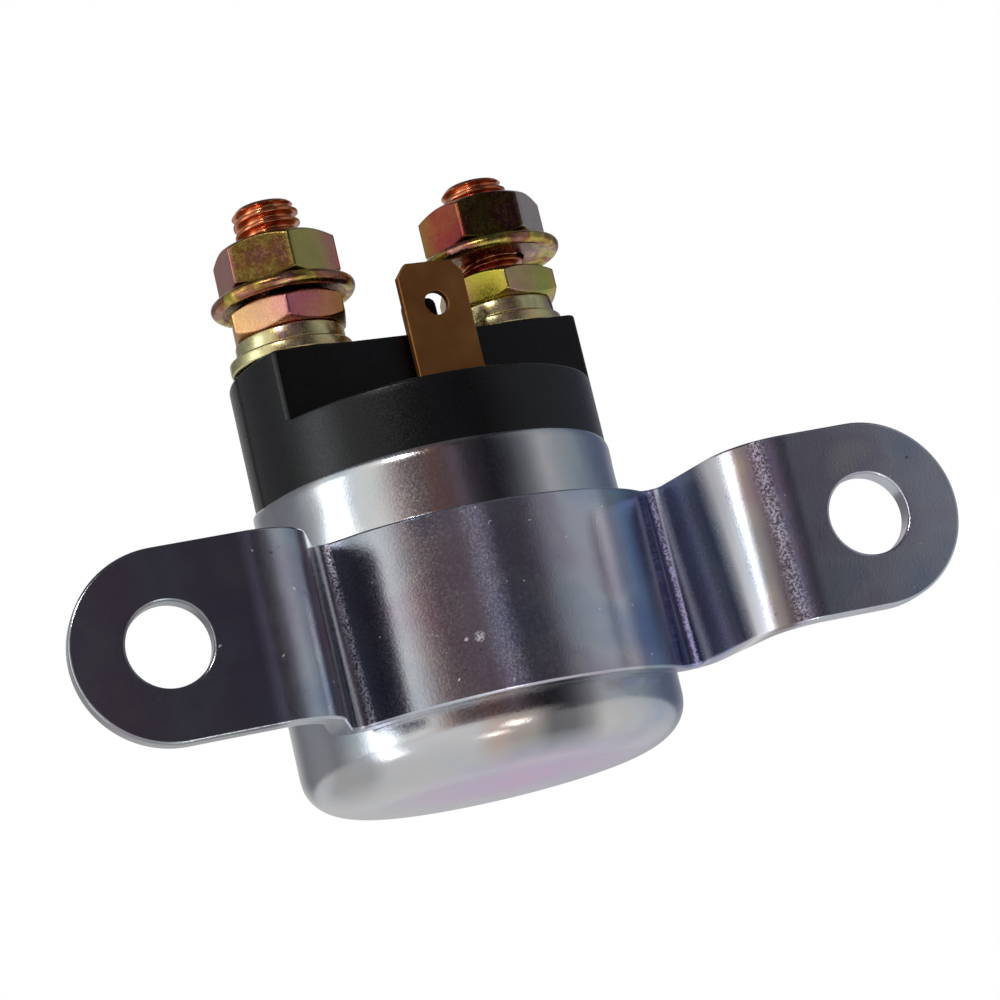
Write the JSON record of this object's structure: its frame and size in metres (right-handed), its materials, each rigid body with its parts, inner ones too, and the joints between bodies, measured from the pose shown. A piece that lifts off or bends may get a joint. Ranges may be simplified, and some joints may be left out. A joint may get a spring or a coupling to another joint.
{
  "type": "starter solenoid relay",
  "caption": "Starter solenoid relay: round steel can in a two-ear strap bracket, black cap with copper studs, nuts and a spade terminal.",
  "frame": {"origin": "midway between the two bracket holes, in the plane of the ears' mounting faces", "axes": "+X along the bracket from the left ear to the right ear as the picture shows them, +Y from the mounting plane towards the can's axis, +Z along the can's axis towards the studs"},
  "size_m": [0.076, 0.0417, 0.0552],
  "materials": {
    "zinc_plate": "bright zinc plate, bluish, satin to glossy",
    "can_steel": "bright zinc plate on drawn steel",
    "phenolic": "moulded black phenolic, satin",
    "seal": "black seal sheet, matte",
    "blade_brass": "stamped brass, dull brown",
    "copper": "turned copper with rolled thread",
    "chromate": "yellow chromate on zinc-plated steel, iridescent",
    "nylon": "natural nylon",
    "enamelled_wire": "enamelled copper wire",
    "sleeve": "glass-fibre sleeve, white",
    "soft_iron": "soft iron, zinc plated",
    "tube_brass": "drawn brass tube",
    "rod_steel": "turned steel",
    "spring_steel": "spring steel wire",
    "bush_board": "turned phenolic board"
  },
  "bodies": {
    "relay": {"mounting_bracket": "zinc_plate", "case_can": "can_steel", "terminal_cap": "phenolic", "cap_gasket": "seal", "spade_terminal": "blade_brass", "stud_left": "copper", "stud_right": "copper", "flat_washer_left": "chromate", "flat_washer_right": "chromate", "spring_washer_left": "chromate", "spring_washer_right": "chromate", "lock_nut_left": "chromate", "lock_nut_right": "chromate", "coil_bobbin": "nylon", "coil_winding": "enamelled_wire", "coil_lead": "enamelled_wire", "lead_sleeve": "sleeve", "ground_lead": "enamelled_wire", "flux_plate": "soft_iron", "base_plate": "soft_iron", "guide_tube": "tube_brass", "fixed_core": "soft_iron", "return_spring": "spring_steel"},
    "plunger": {"plunger": "soft_iron", "plunger_rod": "rod_steel", "spring_seat": "rod_steel", "rod_clip": "spring_steel", "contact_spring": "spring_steel"},
    "contact_disc": {"contact_disc": "copper", "disc_bush": "bush_board", "disc_washer": "bush_board"},
    "ring_left": {"flange_ring_left": "chromate"},
    "nut_left": {"terminal_nut_left": "chromate"},
    "ring_right": {"flange_ring_right": "chromate"},
    "nut_right": {"terminal_nut_right": "chromate"}
  },
  "joints": [
    {"name": "plunger_slide", "type": "slide", "parent": "relay", "child": "plunger", "axis": [0, 0, 1], "range_m": [0, 0.003], "stiffness_N_per_m": 600, "springref_m": -0.004, "deforming": ["return_spring"]},
    {"name": "disc_slide", "type": "slide", "parent": "plunger", "child": "contact_disc", "axis": [0, 0, 1], "range_m": [-0.0008, 0], "deforming": ["contact_spring"]},
    {"name": "ring_left_slide", "type": "slide", "parent": "relay", "child": "ring_left", "axis": [0, 0, 1], "range_m": [0, 0.0035]},
    {"name": "nut_left_turn", "type": "hinge", "parent": "ring_left", "child": "nut_left", "pos_m": [-0.01007, 0.02208, 0.036], "axis": [0, 0, 1], "range_deg": [0, 1260]},
    {"name": "ring_right_slide", "type": "slide", "parent": "relay", "child": "ring_right", "axis": [0, 0, 1], "range_m": [-0.0015, 0.002]},
    {"name": "nut_right_turn", "type": "hinge", "parent": "ring_right", "child": "nut_right", "pos_m": [0.01033, 0.02494, 0.0375], "axis": [0, 0, 1], "range_deg": [-540, 720]}
  ],
  "couplings": [
    {"joint": "disc_slide", "follows": "plunger_slide", "ratio": -0.2666},
    {"joint": "nut_left_turn", "follows": "ring_left_slide", "rad_per_m": 6283},
    {"joint": "nut_right_turn", "follows": "ring_right_slide", "rad_per_m": 6283}
  ]
}
